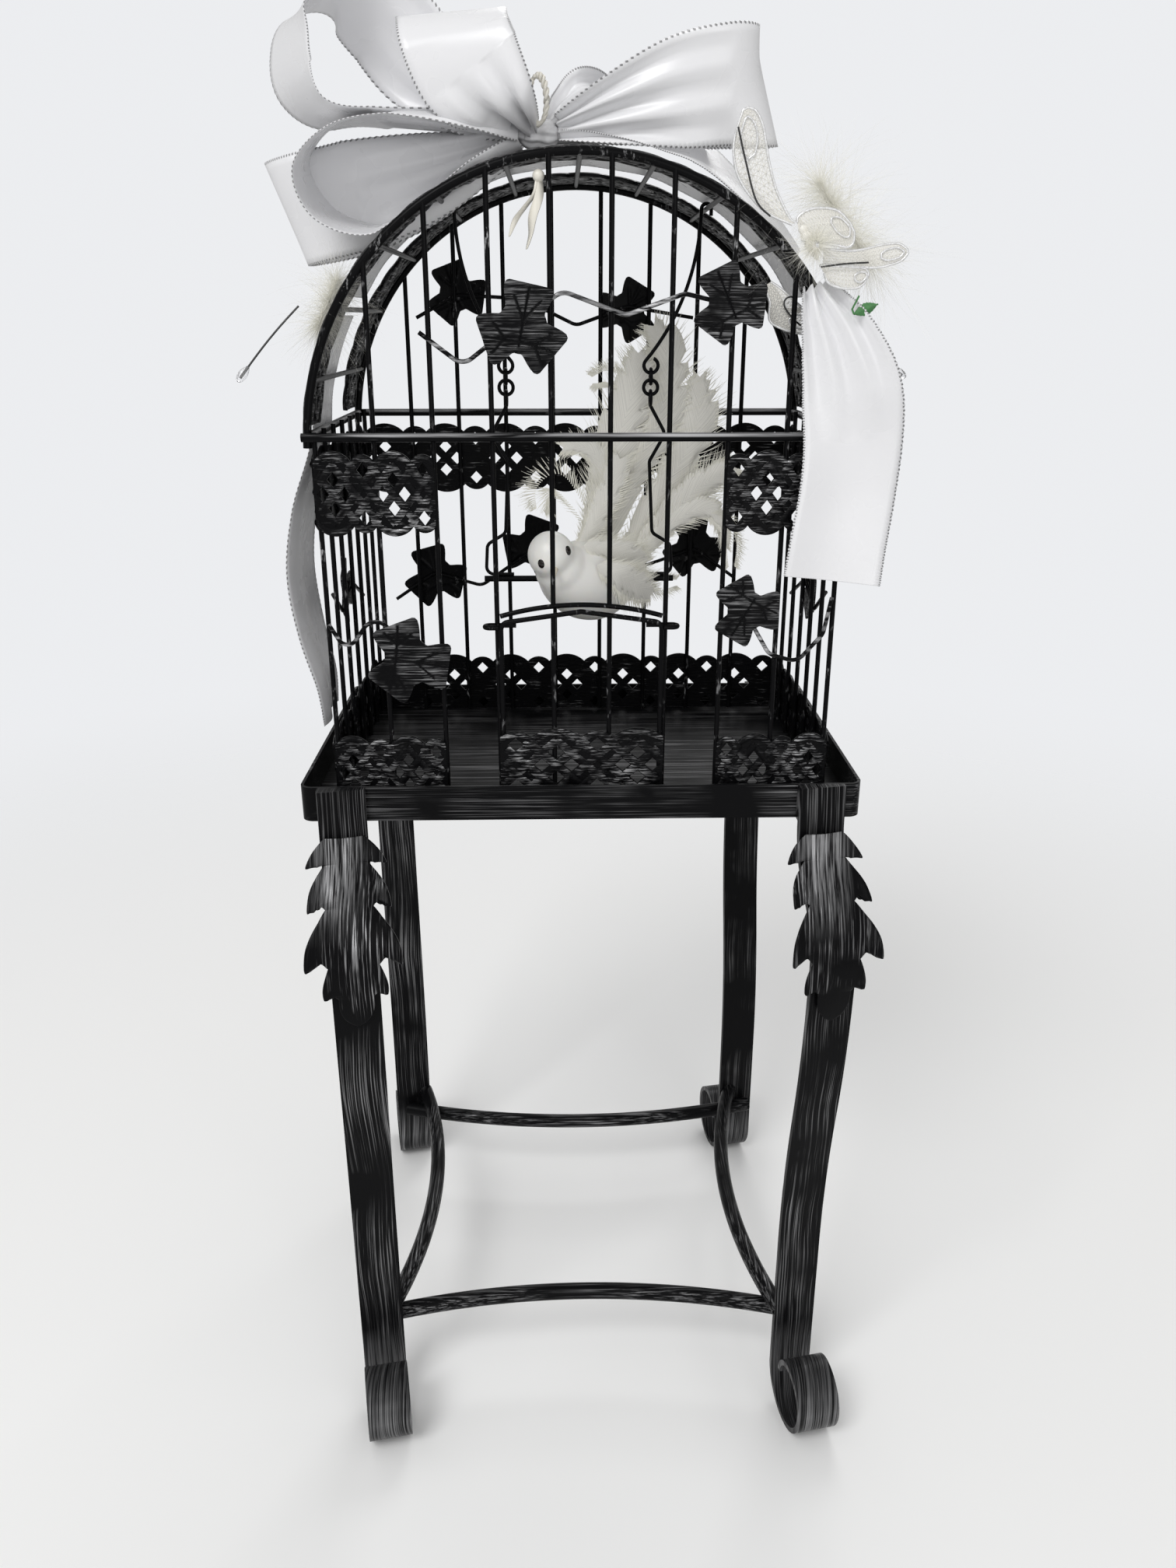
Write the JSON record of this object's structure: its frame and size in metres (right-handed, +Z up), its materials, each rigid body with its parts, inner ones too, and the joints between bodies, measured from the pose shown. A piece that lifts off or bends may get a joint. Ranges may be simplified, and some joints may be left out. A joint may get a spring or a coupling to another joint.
{
  "type": "birdcage card box on stand",
  "caption": "Vaulted wire birdcage for wedding cards, with a sliding door, a bird on a swing and a satin bow, standing in the tray of a scroll-footed stand.",
  "frame": {"origin": "on the floor, under the middle of the part's box", "axes": "+Z up, the door faces -Y, +X to the right as the door is faced"},
  "size_m": [0.314, 0.307, 0.7378],
  "materials": {
    "stand_black": "satin black paint over hand-worked strap, rubbed with silver",
    "cage_wire": "satin black paint on round wire, rubbed with silver",
    "filigree": "black paint on pierced embossed sheet, high spots brushed with silver",
    "vine_metal": "black paint dry-brushed with silver",
    "satin_ribbon": "white satin",
    "lace": "sheer ivory lace with glitter",
    "feather_puff": "ivory down feather",
    "pick_wire": "clear bead on wire",
    "green_leaf": "matt green leaf",
    "swing_wire": "satin black paint",
    "bird_feather": "ivory feather",
    "bird_bill": "matt tan",
    "bird_eye": "black bead"
  },
  "bodies": {
    "stand": {"stand_tray": "stand_black", "leg_front_left": "stand_black", "leg_front_right": "stand_black", "leg_back_left": "stand_black", "leg_back_right": "stand_black", "leg_leaf_left": "stand_black", "leg_leaf_right": "stand_black", "stretcher_front": "stand_black", "stretcher_back": "stand_black", "stretcher_left": "stand_black", "stretcher_right": "stand_black"},
    "cage": {"cage_floor": "cage_wire", "base_frame": "cage_wire", "front_bars": "cage_wire", "back_bars": "cage_wire", "side_bars": "cage_wire", "waist_rail": "cage_wire", "front_arch": "cage_wire", "back_arch": "cage_wire", "roof_rods": "cage_wire", "door_header": "cage_wire", "front_arch_band": "filigree", "back_arch_band": "filigree", "base_strips_front": "filigree", "base_strip_back": "filigree", "base_strips_side": "filigree", "waist_strips_front": "filigree", "waist_strip_back": "filigree", "waist_strips_side": "filigree", "front_vines": "vine_metal", "front_leaves": "vine_metal", "back_vines": "vine_metal", "back_leaves": "vine_metal", "side_vines": "vine_metal", "side_leaves": "vine_metal", "bow_loops": "satin_ribbon", "bow_knot": "satin_ribbon", "bow_tie": "satin_ribbon", "roof_ribbon": "satin_ribbon", "ribbon_tail_right": "satin_ribbon", "ribbon_tail_left": "satin_ribbon", "butterfly": "lace", "feather_puff_right": "feather_puff", "feather_puff_left": "feather_puff", "pick_wire_left": "pick_wire", "leaf_sprig": "green_leaf"},
    "door": {"door_frame": "cage_wire", "door_bars": "cage_wire", "door_hooks": "cage_wire", "door_strip": "filigree"},
    "swing": {"swing_hangers": "swing_wire", "swing_rings": "swing_wire", "swing_sides": "swing_wire", "swing_perch": "swing_wire", "bird_body": "bird_feather", "bird_head": "bird_feather", "bird_tail": "bird_feather", "bird_bill": "bird_bill", "bird_eyes": "bird_eye"}
  },
  "joints": [
    {"name": "cage_lift", "type": "slide", "parent": "stand", "child": "cage", "axis": [0, 0, 1], "range_m": [0, 0.06]},
    {"name": "door_slide", "type": "slide", "parent": "cage", "child": "door", "axis": [0, 0, 1], "range_m": [0, 0.075]},
    {"name": "swing_pivot", "type": "hinge", "parent": "cage", "child": "swing", "pos_m": [0, 0, 0.6497], "axis": [1, 0, 0], "range_deg": [-12, 12]}
  ]
}
